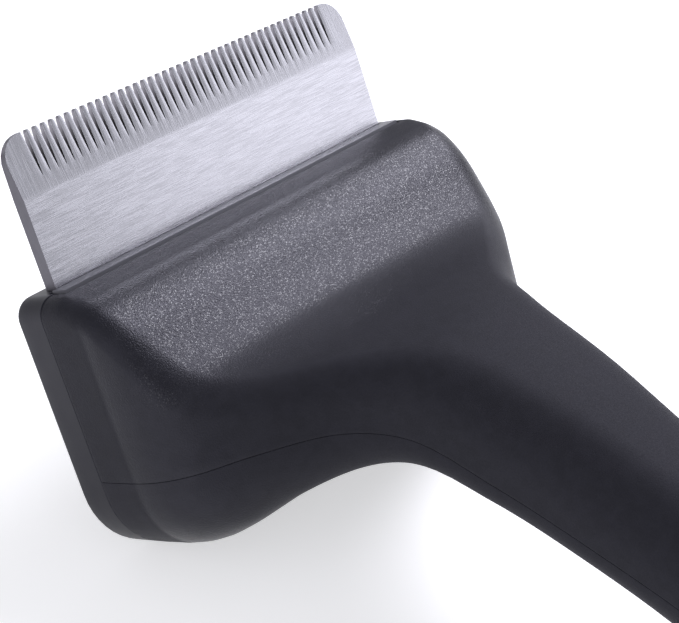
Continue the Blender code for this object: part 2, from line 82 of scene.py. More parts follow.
# Stations of the body: N, T of the mould line, tilt, half width, rise above and drop below the
# line, upper and lower corner radius, and the crown of the upper and lower face.
STATION = {
    "n": (0.55, 2.0, 2.8, 3.2, 3.6, 4.0, 4.6, 5.2, 6.6, 8.2, 10.0, 11.8, 14.5, 18.5, 23.0, 30.0,
          38.0, 47.0, 56.0, 75.0, 94.0, 106.0),
    "t": (-17.5, -17.5, -17.5, -17.5, -17.5, -17.5, -17.5, -17.5, -17.5, -17.5, -17.5, -17.5,
          -17.6, -18.4, -20.4, -25.4, -31.6, -38.8, -46.7, -63.0, -77.8, -86.3),
    "tilt": (0.0, 0.0, 0.0, 0.0, 0.0, 0.0, 0.0, 0.0, 0.0, 0.5, 1.5, 3.0, 7.0, 17.0, 28.0, 36.0,
             39.0, 41.0, 41.0, 39.0, 36.5, 34.5),
    "half": (25.5, 25.49, 25.47, 25.46, 25.455, 25.45, 25.44, 25.41, 25.3, 24.95, 24.15, 22.8,
             19.3, 13.4, 9.8, 8.4, 7.5, 7.0, 7.1, 10.0, 9.2, 8.6),
    "rise": (17.27, 17.27, 17.22, 17.12, 17.0, 16.87, 16.67, 16.42, 15.5, 13.6, 10.55, 8.1, 6.45,
             6.1, 6.9, 7.2, 6.5, 6.1, 6.3, 8.6, 8.0, 7.4),
    "drop": (8.8, 8.79, 8.77, 8.76, 8.75, 8.74, 8.725, 8.69, 8.5, 8.1, 7.5, 6.8, 5.7, 4.7, 3.8,
             3.1, 3.0, 3.7, 5.2, 8.2, 7.6, 7.0),
    "top_r": (1.9, 1.93, 1.96, 1.98, 2.0, 2.03, 2.07, 2.13, 2.35, 2.7, 3.0, 3.0, 3.2, 3.6, 4.2,
              4.8, 5.1, 5.2, 5.2, 6.0, 6.0, 5.6),
    "low_r": (7.4, 7.39, 7.38, 7.375, 7.37, 7.36, 7.35, 7.32, 7.2, 6.8, 6.2, 5.6, 4.8, 3.9, 3.2,
              2.9, 2.9, 3.5, 4.4, 6.2, 6.0, 5.6),
    "crown": (0.0, 0.0, 0.0, 0.0, 0.0, 0.0, 0.0, 0.0, 0.0, 0.1, 0.2, 0.3, 0.5, 0.8, 1.0, 1.0, 1.0,
              1.0, 1.0, 1.2, 1.0, 0.8),
}


def at(x, n, t):
    """A point given along the comb's own axes in millimetres, in the frame's metres."""
    return TURN @ Vector((x * MM, -n * MM, t * MM)) + REST_POINT


def heading(x, n, t):
    return (TURN @ Vector((x, -n, t))).normalized()


def station(n):
    """Section sizes at a distance N, from smooth curves through the stations."""
    xs = STATION["n"]
    i = max(0, min(len(xs) - 2, sum(1 for x in xs if x <= n) - 1))
    h = xs[i + 1] - xs[i]
    s = (n - xs[i]) / h
    row = {"n": n}
    for key, ys in STATION.items():
        if key == "n":
            continue
        here = before = after = (ys[i + 1] - ys[i]) / h
        if i > 0:
            before = (ys[i] - ys[i - 1]) / (xs[i] - xs[i - 1])
        if i + 2 < len(ys):
            after = (ys[i + 2] - ys[i + 1]) / (xs[i + 2] - xs[i + 1])
        slope_a = 0.5 * (before + here) if before * here > 0 else 0.0
        slope_b = 0.5 * (after + here) if after * here > 0 else 0.0
        a = 2 * s ** 3 - 3 * s ** 2 + 1
        b = s ** 3 - 2 * s ** 2 + s
        c = 3 * s ** 2 - 2 * s ** 3
        d = s ** 3 - s ** 2
        row[key] = a * ys[i] + b * h * slope_a + c * ys[i + 1] + d * h * slope_b
    return row


def half_outline(row, inset, upper, gap, side_pts=6, corner_pts=9, face_pts=14):
    """Half of a section, from its right edge at the mould line round to its left edge."""
    w = row["half"] - inset
    h = (row["rise"] if upper else row["drop"]) - inset
    r = max(0.5, (row["top_r"] if upper else row["low_r"]) - inset)
    right = [(w, gap + (h - r - gap) * k / side_pts) for k in range(side_pts)]
    for k in range(corner_pts + 1):
        a = 0.5 * math.pi * k / corner_pts
        right.append((w - r + r * math.cos(a), h - r + r * math.sin(a)))
    face = [((w - r) * (1 - 2 * k / face_pts), h) for k in range(1, face_pts)]
    outline = right + face + [(-u, v) for u, v in reversed(right)]
    sign = 1 if upper else -1
    crown = row["crown"]
    return [(u, sign * (v + crown * (1 - (u / w) ** 2) * max(0.0, v - gap) / (h - gap)))
            for u, v in outline]


def on_section(row, u, v):
    tilt = math.radians(row["tilt"])
    return at(u, row["n"] + v * math.sin(tilt), row["t"] + v * math.cos(tilt))


def section_up(row):
    tilt = math.radians(row["tilt"])
    return heading(0.0, math.sin(tilt), math.cos(tilt))


def full_ring(row, inset, side_pts=3, corner_pts=8, face_pts=8):
    upper = half_outline(row, inset, True, 0.0, side_pts, corner_pts, face_pts)
    lower = half_outline(row, inset, False, 0.0, side_pts, corner_pts, face_pts)[::-1][1:-1]
    return [on_section(row, u, v) for u, v in upper + lower]


def steps(start, end, count):
    return [start + (end - start) * k / count for k in range(count + 1)]


# ---------------------------------------------------------------- modelling helpers


def pick(obj):
    """Only this object is selected and active."""
    if bpy.context.object and bpy.context.object.mode != "OBJECT":
        bpy.ops.object.mode_set(mode="OBJECT")
    bpy.ops.object.select_all(action="DESELECT")
    obj.select_set(True)
    bpy.context.view_layer.objects.active = obj


def named(name):
    obj = bpy.context.object
    obj.name = name
    obj.data.name = name
    return obj


def grid_surface(name, columns, rows, place, wrap=False):
    """A grid moved to place(column, row), vertex by vertex; wrap joins first and last column."""
    bpy.ops.object.select_all(action="DESELECT")
    bpy.ops.mesh.primitive_grid_add(x_subdivisions=columns - 1, y_subdivisions=rows - 1, size=1.0)
    obj = named(name)
    for vert in obj.data.vertices:
        vert.co = place(vert.index % columns, vert.index // columns)
    if wrap:
        edit(obj)
        bpy.ops.mesh.remove_doubles(threshold=1e-6)
        done()
    return obj


def edit(obj, mode="FACE"):
    pick(obj)
    bpy.ops.object.mode_set(mode="EDIT")
    bpy.ops.mesh.select_mode(type=mode)
    bpy.ops.mesh.select_all(action="SELECT")


def done():
    bpy.ops.object.mode_set(mode="OBJECT")


def close_ends(obj):
    """Fill every open edge loop and turn the faces outward."""
    edit(obj, "EDGE")
    bpy.ops.mesh.select_all(action="DESELECT")
    bpy.ops.mesh.select_non_manifold()
    bpy.ops.mesh.edge_face_add()
    bpy.ops.mesh.select_all(action="SELECT")
    bpy.ops.mesh.normals_make_consistent(inside=False)
    done()


def outward(obj, inner_point):
    """Turn an open sheet so that its faces look away from a point."""
    total = sum((poly.center - inner_point).dot(poly.normal) * poly.area
                for poly in obj.data.polygons)
    if total < 0:
        edit(obj)
        bpy.ops.mesh.flip_normals()
        done()


def apply_modifier(obj, kind, **settings):
    pick(obj)
    mod = obj.modifiers.new(kind.lower(), kind)
    for key, value in settings.items():
        setattr(mod, key, value)
    bpy.ops.object.modifier_apply(modifier=mod.name)


def crisp_edges(obj, width, segments, angle):
    """Round the edges sharper than an angle."""
    apply_modifier(obj, "BEVEL", width=width * MM, segments=segments, limit_method="ANGLE",
                   angle_limit=math.radians(angle), harden_normals=False)


def smooth(obj, angle):
    pick(obj)
    bpy.ops.object.shade_smooth_by_angle(angle=math.radians(angle))


def cut(obj, tool):
    """Cut one closed piece with another, and take the tool away."""
    apply_modifier(obj, "BOOLEAN", operation="DIFFERENCE", solver="EXACT", object=tool)
    if not obj.data.polygons:
        raise RuntimeError("nothing is left of " + obj.name + " after a cut")
    bpy.data.objects.remove(tool, do_unlink=True)


def block(name, low, high):
    """Box between two corners given as (x, n, t)."""
    bpy.ops.object.select_all(action="DESELECT")
    bpy.ops.mesh.primitive_cube_add(size=1.0)
    obj = named(name)
    for vert in obj.data.vertices:
        spot = [low[k] if vert.co[k] < 0 else high[k] for k in range(3)]
        vert.co = at(*spot)
    edit(obj)
    bpy.ops.mesh.normals_make_consistent(inside=False)
    done()
    return obj


def turned(name, base, axis, profile, sides=48):
    """Turned solid with closed ends: profile holds (radius, distance along the axis)."""
    axis = axis.normalized()
    side = axis.orthogonal().normalized()
    other = axis.cross(side)

    def place(column, row):
        a = 2 * math.pi * column / sides
        radius, along = profile[row]
        return base + (axis * along + (side * math.cos(a) + other * math.sin(a)) * radius) * MM

    obj = grid_surface(name, sides + 1, len(profile), place, wrap=True)
    close_ends(obj)
    return obj


def copy_of(node, name):
    """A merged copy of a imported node, ready to be refined."""
    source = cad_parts[node]
    pick(source)
    mesh = source.data.copy()
    obj = bpy.data.objects.new(name, mesh)
    bpy.context.scene.collection.objects.link(obj)
    mesh.name = name
    mesh.materials.clear()
    edit(obj)
    bpy.ops.mesh.remove_doubles(threshold=1e-6)
    bpy.ops.mesh.dissolve_limited(angle_limit=math.radians(1.0))
    bpy.ops.mesh.normals_make_consistent(inside=False)
    done()
    return obj


def hand_over(obj, body, slot, mats, *nodes):
    """Give a finished piece its finishes, its body and the nodes it stands for."""
    mats = mats if isinstance(mats, list) else [mats]
    if len(obj.data.materials) != len(mats):
        obj.data.materials.clear()
        for mat in mats:
            obj.data.materials.append(mat)
    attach(obj, body)
    if nodes:
        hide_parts(*nodes)


# ---------------------------------------------------------------- shader helpers


class Signal:
    """A shader socket that can stand in sums."""

    def __init__(self, sheet, socket):
        self.sheet = sheet
        self.socket = socket

    def math(self, operation, *others):
        node = self.sheet.add("ShaderNodeMath", {"operation": operation},
                              dict(enumerate((self, *others))))
        return Signal(self.sheet, node.outputs[0])

    def back(self, operation, other):
        node = self.sheet.add("ShaderNodeMath", {"operation": operation}, {0: other, 1: self})
        return Signal(self.sheet, node.outputs[0])

    def __add__(self, other):
        return self.math("ADD", other)

    __radd__ = __add__

    def __sub__(self, other):
        return self.math("SUBTRACT", other)

    def __rsub__(self, other):
        return self.back("SUBTRACT", other)

    def __mul__(self, other):
        return self.math("MULTIPLY", other)

    __rmul__ = __mul__

    def step(self, low, high):
        """0 below low, 1 above high, smooth between."""
        node = self.sheet.add("ShaderNodeMapRange", {"interpolation_type": "SMOOTHSTEP"},
                              {"Value": self, "From Min": low, "From Max": high})
        return Signal(self.sheet, node.outputs["Result"])


class Sheet:
    """One material and its nodes."""

    def __init__(self, name, colour, metallic=0.0, roughness=0.5, **constants):
        self.mat = bpy.data.materials.new(name)
        self.mat.use_nodes = True
        self.tree = self.mat.node_tree
        self.shader = self.tree.nodes["Principled BSDF"]
        self.mat.diffuse_color = (*colour, 1.0)
        self.set("Base Color", (*colour, 1.0))
        self.set("Metallic", metallic)
        self.set("Roughness", roughness)
        for key, value in constants.items():
            self.set(key.replace("_", " "), value)

    def add(self, kind, settings=None, inputs=None):
        """A node of a type, with its settings first and then its sockets' values or links."""
        node = self.tree.nodes.new(kind)
        for key, value in (settings or {}).items():
            setattr(node, key, value)
        for key, value in (inputs or {}).items():
            self.plug(node.inputs[key], value)
        return node

    def plug(self, socket, value):
        if isinstance(value, Signal):
            self.tree.links.new(value.socket, socket)
        else:
            socket.default_value = value

    def set(self, name, value):
        self.plug(self.shader.inputs[name], value)

    def out(self, node, name):
        return Signal(self, node.outputs[name])

    def comb_space(self):
        """The point in millimetres along the comb's own axes: X, minus N, T."""
        coords = self.add("ShaderNodeTexCoord")
        back = Matrix.Rotation(TILT, 3, "X")
        shift = -(back @ (REST_POINT / MM))
        mapping = self.add("ShaderNodeMapping", {"vector_type": "POINT"}, {
            "Vector": self.out(coords, "Object"),
            "Location": shift,
            "Rotation": Euler((TILT, 0.0, 0.0)),
            "Scale": (1 / MM, 1 / MM, 1 / MM),
        })
        return self.out(mapping, "Vector")

    def split(self, vector):
        node = self.add("ShaderNodeSeparateXYZ", None, {"Vector": vector})
        return [self.out(node, axis) for axis in "XYZ"]

    def stretch(self, vector, scale):
        node = self.add("ShaderNodeVectorMath", {"operation": "MULTIPLY"}, {0: vector, 1: scale})
        return self.out(node, "Vector")

    def noise(self, vector, scale, detail=2.0, rough=0.5):
        node = self.add("ShaderNodeTexNoise", None, {
            "Vector": vector, "Scale": scale, "Detail": detail, "Roughness": rough})
        return self.out(node, "Fac")

    def cells(self, vector, scale, feature="F1"):
        node = self.add("ShaderNodeTexVoronoi", {"feature": feature},
                        {"Vector": vector, "Scale": scale})
        return self.out(node, "Distance")

    def blend(self, factor, first, second):
        """Mix of two colours; sockets 6 and 7 are its colour inputs and 2 its colour output."""
        node = self.add("ShaderNodeMix", {"data_type": "RGBA"}, {
            "Factor": factor, 6: first, 7: second})
        return Signal(self, node.outputs[2])

    def bump(self, height, distance, strength=1.0):
        """Relief in millimetres of depth on the shader's normal."""
        node = self.add("ShaderNodeBump", None, {
            "Height": height, "Distance": distance * MM, "Strength": strength})
        self.set("Normal", self.out(node, "Normal"))


PLASTIC = {"Specular_IOR_Level": 0.25, "Specular_Tint": (0.88, 0.87, 1.0, 1.0)}


def shade(colour, share):
    """A darker or lighter version of a colour, with its alpha."""
    return tuple(min(1.0, c * share) for c in colour) + (1.0,)


def spark_plastic(name, colour, depth, roughness):
    """Moulded plastic from an eroded tool: fine pits, and glossy points that glint in the light."""
    sheet = Sheet(name, colour, 0.0, roughness, Coat_Roughness=0.22, **PLASTIC)
    spot = sheet.comb_space()
    grain = sheet.noise(spot, 7.0, 2.0, 0.6)
    mottle = sheet.noise(spot, 0.8, 3.0)
    x, ahead, t = sheet.split(spot)
    plain = (ahead * -1.0).step(8.5, 19.0)
    lip = (ahead * -1.0).step(5.6, 4.8)
    flank = x.math("ABSOLUTE").step(23.6, 25.0)
    quiet = 1.0 - (1.0 - lip) * (1.0 - flank) * t.step(-12.5, -9.5)
    sheet.bump(grain * (1.0 - plain * 0.6), depth)
    sheet.set("Roughness", roughness + plain * 0.42 + lip * 0.26 + flank * 0.1
              + (grain - 0.5) * 0.25 + (mottle - 0.5) * 0.06)
    point = sheet.add("ShaderNodeTexVoronoi", {"feature": "F1"}, {"Vector": spot, "Scale": 6.5})
    chance = sheet.split(sheet.out(point, "Color"))[0]
    size = 1.0 - sheet.out(point, "Distance").step(0.25, 0.5)
    sheet.set("Coat Weight", chance.step(0.3, 0.8) * size * grain.step(0.3, 0.6)
              * (1.0 - plain * 0.9) * (1.0 - quiet))
    sheet.set("Base Color", sheet.blend(mottle.step(0.35, 0.65),
                                        shade(colour, 0.9), shade(colour, 1.1)))
    return sheet.mat


def satin_plastic(name, colour, roughness, depth=0.006):
    """Smoother moulded plastic with a fine even grain."""
    sheet = Sheet(name, colour, 0.0, roughness, **PLASTIC)
    spot = sheet.comb_space()
    grain = sheet.noise(spot, 5.0, 2.0)
    wear = sheet.noise(spot, 0.5, 4.0, 0.6)
    sheet.bump(grain, depth)
    sheet.set("Roughness", roughness + (wear - 0.5) * 0.2)
    sheet.set("Base Color", sheet.blend(wear, shade(colour, 0.85), shade(colour, 1.15)))
    return sheet.mat


def blade_steel(name, colour, bevel_start):
    """Brushed along the blade on the flat, ground toward the tips on the bevel."""
    sheet = Sheet(name, colour, 1.0, 0.3)
    spot = sheet.comb_space()
    t = sheet.split(spot)[2]
    ground = t.step(bevel_start - 0.05, bevel_start + 0.1)
    brushed = sheet.noise(sheet.stretch(spot, (0.3, 1.0, 9.0)), 1.0, 3.0, 0.7)
    coarse = sheet.noise(sheet.stretch(spot, (0.2, 1.0, 2.5)), 1.0, 3.0, 0.6)
    strokes = sheet.noise(sheet.stretch(spot, (7.0, 1.0, 0.12)), 1.0, 3.0, 0.6)
    flat_lines = brushed * 0.72 + coarse * 0.28
    height = flat_lines * (1.0 - ground) + strokes * ground
    sheet.bump(height, 0.012)
    sheet.set("Roughness", (flat_lines - 0.5) * 0.35 * (1.0 - ground)
              + (strokes - 0.5) * 0.2 * ground + 0.26)
    tone = (flat_lines.step(0.38, 0.62) * (1.0 - ground)
            + strokes.step(0.35, 0.75) * 0.45 * ground)
    dark = sheet.blend(ground, shade(colour, 0.78), shade(colour, 0.92))
    sheet.set("Base Color", sheet.blend(tone, dark, shade(colour, 1.08)))
    return sheet.mat


def cut_steel(name, colour):
    """Rough cut edges: dull on the sides, with painted shade that makes them near black deep in the
    slots and paler toward the tooth tips.
    """
    sheet = Sheet(name, colour, 0.9, 0.45)
    spot = sheet.comb_space()
    x, ahead, t = sheet.split(spot)
    scratch = sheet.noise(sheet.stretch(spot, (1.0, 6.0, 1.5)), 1.0, 3.0, 0.6)
    sheet.bump(scratch, 0.02)
    sheet.set("Roughness", 0.45 + (scratch - 0.5) * 0.3)
    # Painted shade: the slot walls are coloured near black deep in the slots and lighten toward the
    # tooth tips.
    painted_slot_shade = (0.035, 0.030, 0.032, 1.0)
    pale = (0.30, 0.29, 0.32, 1.0)
    inside = sheet.blend(t.step(10.4, 13.6), painted_slot_shade, pale)
    side = x.math("ABSOLUTE").step(22.0, 22.3)
    sheet.set("Base Color", sheet.blend(side, inside, shade(colour, 1.0)))
    return sheet.mat


def turned_steel(name, colour, roughness):
    """Zinc-bright steel of screws and wire with fine uneven sheen."""
    sheet = Sheet(name, colour, 1.0, roughness)
    spot = sheet.comb_space()
    haze = sheet.noise(spot, 2.0, 4.0, 0.6)
    sheet.bump(sheet.noise(spot, 9.0, 2.0), 0.004)
    sheet.set("Roughness", roughness + (haze - 0.5) * 0.25)
    sheet.set("Base Color", sheet.blend(haze, shade(colour, 0.8), shade(colour, 1.0)))
    return sheet.mat


def grip_rubber(name, colour, roughness):
    """Soft matt rubber with a fine leather-like grain."""
    sheet = Sheet(name, colour, 0.0, roughness)
    spot = sheet.comb_space()
    grain = sheet.cells(spot, 1.6, "SMOOTH_F1")
    fine = sheet.noise(spot, 6.0, 3.0)
    sheet.bump(grain * 0.8 + fine * 0.3, 0.03)
    sheet.set("Roughness", roughness + (fine - 0.5) * 0.15)
    dust = sheet.noise(spot, 0.25, 4.0, 0.65)
    sheet.set("Base Color", sheet.blend(dust.step(0.4, 0.7),
                                        shade(colour, 1.0), shade(colour, 1.5)))
    return sheet.mat


# ---------------------------------------------------------------- settings


class CombSizes(bpy.types.PropertyGroup):
    """Sizes that shape the fine detail, in millimetres."""

    seam: bpy.props.FloatProperty(
        name="Seam", description="Half the visible gap along the mould line, in millimetres",
        default=0.01, min=0.0, max=0.1)
    edge: bpy.props.FloatProperty(
        name="Seam edge", description="Rounding of the shells' open edges, in millimetres",
        default=0.06, min=0.01, max=0.3)
    tooth_gap: bpy.props.FloatProperty(
        name="Tooth gap", description="Width of a slot between two tooth tips, in millimetres",
        default=0.5, min=0.2, max=0.7)
    grind: bpy.props.FloatProperty(
        name="Grind depth", description="Steel taken off at the tooth tips, in millimetres",
        default=0.8, min=0.1, max=1.2)
    rib_depth: bpy.props.FloatProperty(
        name="Rib depth", description="Depth of the grooves round the grip, in millimetres",
        default=0.45, min=0.0, max=1.0)


class CombColours(bpy.types.PropertyGroup):
    """Base colours of the finishes."""

    shell: bpy.props.FloatVectorProperty(
        name="Shell", description="Charcoal of the moulded body", subtype="COLOR", size=3,
        default=(0.014, 0.014, 0.018), min=0.0, max=1.0)
    cover: bpy.props.FloatVectorProperty(
        name="Cover", description="Charcoal of the cover and end cap", subtype="COLOR", size=3,
        default=(0.014, 0.014, 0.018), min=0.0, max=1.0)
    strip: bpy.props.FloatVectorProperty(
        name="Ejector", description="Grey of the ejector plate", subtype="COLOR", size=3,
        default=(0.085, 0.085, 0.095), min=0.0, max=1.0)
    steel: bpy.props.FloatVectorProperty(
        name="Blade", description="Steel of the blade", subtype="COLOR", size=3,
        default=(0.72, 0.718, 0.76), min=0.0, max=1.0)
    rubber: bpy.props.FloatVectorProperty(
        name="Grip", description="Black of the grip sleeve", subtype="COLOR", size=3,
        default=(0.012, 0.012, 0.014), min=0.0, max=1.0)


def sizes():
    return bpy.context.scene.comb_sizes


def colours():
    return bpy.context.scene.comb_colours


FINISH = {}


def finish(name):
    """Each finish is made once, when it is first asked for."""
    if name not in FINISH:
        c = colours()
        makers = {
            "shell": lambda: spark_plastic("charcoal_spark_plastic", tuple(c.shell), 0.045, 0.31),
            "cover": lambda: satin_plastic("charcoal_satin_plastic", tuple(c.cover), 0.46),
            "strip": lambda: satin_plastic("grey_satin_plastic", tuple(c.strip), 0.42),
            "button": lambda: satin_plastic("dark_grey_satin_plastic",
                                            tuple(0.6 * v for v in c.strip), 0.42),
            "blade": lambda: blade_steel("brushed_blade_steel", tuple(c.steel), 8.2),
            "cut": lambda: cut_steel("cut_blade_edges", (0.12, 0.116, 0.132)),
            "screw": lambda: turned_steel("bright_screw_steel", (0.55, 0.55, 0.57), 0.3),
            "spring": lambda: turned_steel("drawn_spring_wire", (0.45, 0.46, 0.48), 0.25),
            "grip": lambda: grip_rubber("black_grip_rubber", tuple(c.rubber), 0.72),
        }
        FINISH[name] = makers[name]()
    return FINISH[name]


# ---------------------------------------------------------------- pieces


class COMB_OT_shells(bpy.types.Operator):
    """Inner and outer shell of head and handle, lofted through the stations"""

    bl_idname = "comb.shells"
    bl_label = "Body shells"

    def execute(self, context):
        head = steps(BODY_FRONT + 0.02, 1.9, 4) + steps(2.6, 3.5, 6)
        head += steps(3.6, 4.8, 12) + steps(5.0, 8.2, 12)
        rows = [(n, 0.0) for n in head + steps(8.6, 24.0, 32) + steps(25.0, SLEEVE_START, 20)]
        covered = [SLEEVE_START + 0.04] + steps(SLEEVE_START + 4.0, SHELL_END, 8)
        rows += [(n, SLEEVE_DEPTH) for n in covered]
        for name, upper, node in (("inner_shell_skin", True, "inner_shell"),
                                  ("outer_shell_skin", False, "outer_shell")):
            arcs = []
            for n, inset in rows:
                row = station(n)
                arcs.append([on_section(row, u, v)
                             for u, v in half_outline(row, inset, upper, sizes().seam)])
            obj = grid_surface(name, len(arcs[0]), len(arcs), lambda c, r: arcs[r][c])
            outward(obj, at(0, 12, -17.5))
            apply_modifier(obj, "SOLIDIFY", thickness=1.2 * MM, offset=-1.0, use_even_offset=False)
            if upper:
                cut(obj, block("rim_tool", (-PLATE_POCKET_X, -1.0, -4.0),
                               (PLATE_POCKET_X, 2.3, 3.0)))
            crisp_edges(obj, sizes().edge, 2, 55.0)
            smooth(obj, 50.0)
            if not upper:
                self.screw_seats(obj)
            hand_over(obj, HANDLE, "shell_plastic", finish("shell"), node)
        return {"FINISHED"}

    def screw_seats(self, obj):
        """Sunk seats for the screws that close the shells."""
        for n in SHELL_SCREW_N:
            row = station(n)
            inset = SLEEVE_DEPTH if n > SLEEVE_START else 0.0
            depth = row["drop"] + row["crown"] - inset - 1.2
            tool = turned("seat_tool", on_section(row, 0, 0), -section_up(row),
                          [(2.6, depth - 3.0), (2.6, depth + 6.0)], 32)
            cut(obj, tool)


class COMB_OT_cover(bpy.types.Operator):
    """Front cover with a rounded rim, the blade's tray, the slider's window and sunk holes"""

    bl_idname = "comb.cover"
    bl_label = "Front cover"

    def execute(self, context):
        base = dict(station(BODY_FRONT), rise=17.34)
        back, rim = BODY_FRONT + 0.005, 0.6
        turns = [0.5 * math.pi * k / 6 for k in range(7)]
        rings = [(COVER_FRONT, rim + 1.0)]
        rings += [(COVER_FRONT + rim * (1 - math.cos(a)), rim * (1 - math.sin(a))) for a in turns]
        rings += [(-1.5, 0.0), (back - 0.06, 0.0), (back, 0.05)]
        loops = [full_ring(dict(base, n=n), inset, 6, 12, 12) for n, inset in rings]
        count = len(loops[0])
        obj = grid_surface("front_cover_shell", count + 1, len(loops),
                           lambda c, r: loops[r][c % count], wrap=True)
        close_ends(obj)
        cut(obj, block("pocket_tool", (-PLATE_POCKET_X, 0.0, -19.7), (PLATE_POCKET_X, 4.0, 3.0)))
        cut(obj, block("tongue_tool", (-14.3, 0.0, -24.1), (14.3, 4.0, -15.0)))
        cut(obj, block("tray_tool", (-22.56, -1.52, -12.1), (22.56, 0.5, 3.0)))
        cut(obj, block("window_tool", (-6.6, -6.0, -23.2), (6.6, 1.0, -13.2)))
        for x in COVER_SCREW_X:
            cut(obj, turned("hole_tool", at(x, 0, COVER_SCREW_T), heading(0, 1, 0),
                            [(2.45, -4.5), (2.35, -3.05), (1.3, -2.0), (1.3, 1.0)], 40))
        smooth(obj, 30.0)
        hand_over(obj, HANDLE, "cover_plastic", finish("cover"), "front_cover")
        return {"FINISHED"}


class COMB_OT_blade(bpy.types.Operator):
    """Steel blade: tapered slots, rounded tooth tips and a hollow-ground bevel"""

    bl_idname = "comb.blade"
    bl_label = "Blade"

    WIDTH = 45.0
    HEIGHT = 13.7
    THICK = 1.5
    TANG = 12.0
    BEVEL = 8.2
    ROOT = 9.5
    SLOTS = 42
    PITCH = WIDTH / 47.3
    CORNER = 2.3
    TIP_ROUND = 0.28
    TIP_NARROWING = 0.45
    FRONT_GRIND = 0.25

    def slot_half(self, t):
        """Half the slot's width at a height."""
        if t <= self.ROOT:
            return 0.0
        rise = min(1.0, (t - self.ROOT) / (self.HEIGHT - self.ROOT))
        return 0.5 * sizes().tooth_gap * rise ** 0.62

    def rear(self, t, across):
        """N of the ground rear face; across is 0 at a slot and 1 at the middle of a tooth."""
        if t <= self.BEVEL:
            return 0.0
        s = (t - self.BEVEL) / (self.HEIGHT - self.BEVEL)
        grind = sizes().grind * s
        rounding = 0.03 * (1 - across) ** 2 * min(1.0, max(0.0, (t - self.ROOT + 0.6) / 1.2))
        return -(grind + rounding)

    def tooth(self, left, right, levels):
        """Rear face between two slots; the end teeth are wide, with a rounded outer corner."""
        half, tip, corner = self.WIDTH / 2, self.HEIGHT, self.CORNER
        wide = left is None or right is None
        columns = 13 if wide else 7
        heights = levels + [tip - d for d in ((0.3, 0.15, 0.05, 0.0) if wide
                                              else (self.TIP_ROUND, 0.1, 0.0))]

        def place(c, r):
            t = heights[r]
            gap = self.slot_half(t)
            low = -half if left is None else left + gap
            high = half if right is None else right - gap
            f = c / (columns - 1)
            if wide:
                if t > tip - corner:
                    reach = corner - math.sqrt(max(0.0, corner ** 2 - (t - tip + corner) ** 2))
                    low = low + reach if left is None else low
                    high = high - reach if right is None else high
                across = min(1.0, (1 - f if left is None else f) * 8)
            else:
                across = 1 - abs(2 * f - 1)
                round_off = max(0.0, (t - (tip - self.TIP_ROUND)) / self.TIP_ROUND)
                squeeze = 1 - self.TIP_NARROWING * round_off ** 2
                middle = 0.5 * (low + high)
                low = middle + (low - middle) * squeeze
                high = middle + (high - middle) * squeeze
            return at(low + (high - low) * f, self.rear(t, across), t)

        return grid_surface("tooth", columns, len(heights), place)

    def execute(self, context):
        first = -self.PITCH * (self.SLOTS - 1) / 2
        levels = [-self.TANG, -4.0, 0.0, 4.0, 7.6, self.BEVEL - 0.05, self.BEVEL + 0.12, 8.7, 9.2]
        levels += [self.ROOT + d for d in (0.0, 0.12, 0.4, 0.9, 1.5, 2.2, 2.9, 3.4, 3.75)]
        edges = [None] + [first + k * self.PITCH for k in range(self.SLOTS)] + [None]
        pieces = [self.tooth(left, right, levels) for left, right in zip(edges, edges[1:])]
        obj = pieces[0]
        pick(obj)
        for piece in pieces[1:]:
            piece.select_set(True)
        bpy.ops.object.join()
        obj.name = "comb_blade"
        obj.data.name = "comb_blade"
        obj.data.materials.append(finish("blade"))
        obj.data.materials.append(finish("cut"))
        edit(obj)
        bpy.ops.mesh.remove_doubles(threshold=3e-6)
        done()
        outward(obj, at(0, -5, 0))
        edit(obj)
        count = len(obj.data.vertices)
        bpy.ops.mesh.extrude_region_move()
        done()
        rear = heading(0, 1, 0)
        up = heading(0, 0, 1)
        base = at(0, 0, 0)
        for vert in obj.data.vertices[count:]:
            reach = (vert.co - base).dot(up) / MM - self.BEVEL
            thin = self.FRONT_GRIND * max(0.0, reach / (self.HEIGHT - self.BEVEL))
            vert.co -= rear * ((vert.co - base).dot(rear) + (self.THICK - thin) * MM)
        edit(obj)
        bpy.ops.mesh.normals_make_consistent(inside=False)
        done()
        for poly in obj.data.polygons:
            poly.material_index = 1 if abs(poly.normal.dot(rear)) < 0.6 else 0
        for x in COVER_SCREW_X:
            cut(obj, turned("hole_tool", at(x, 0, COVER_SCREW_T), heading(0, 1, 0),
                            [(1.3, -3.0), (1.3, 3.0)], 32))
        crisp_edges(obj, 0.05, 1, 60.0)
        smooth(obj, 32.0)
        hand_over(obj, HANDLE, "blade_steel", [finish("blade"), finish("cut")], "blade")
        return {"FINISHED"}


class COMB_OT_ejector(bpy.types.Operator):
    """Ejector plate, its carrier and the ribbed thumb slider, with softened edges"""

    bl_idname = "comb.ejector"
    bl_label = "Hair ejector"

    def execute(self, context):
        for node, name, slot, look, width in (
            ("ejector_plate", "ejector_plate_strip", "ejector_plastic", "strip", 0.08),
            ("ejector_carrier", "ejector_carrier_bar", "ejector_plastic", "strip", 0.2),
            ("thumb_slider", "thumb_slider_pad", "button_plastic", "button", 0.12),
        ):
            obj = copy_of(node, name)
            crisp_edges(obj, width, 2, 40.0)
            smooth(obj, 40.0)
            hand_over(obj, EJECTOR, slot, finish(look), node)
        return {"FINISHED"}


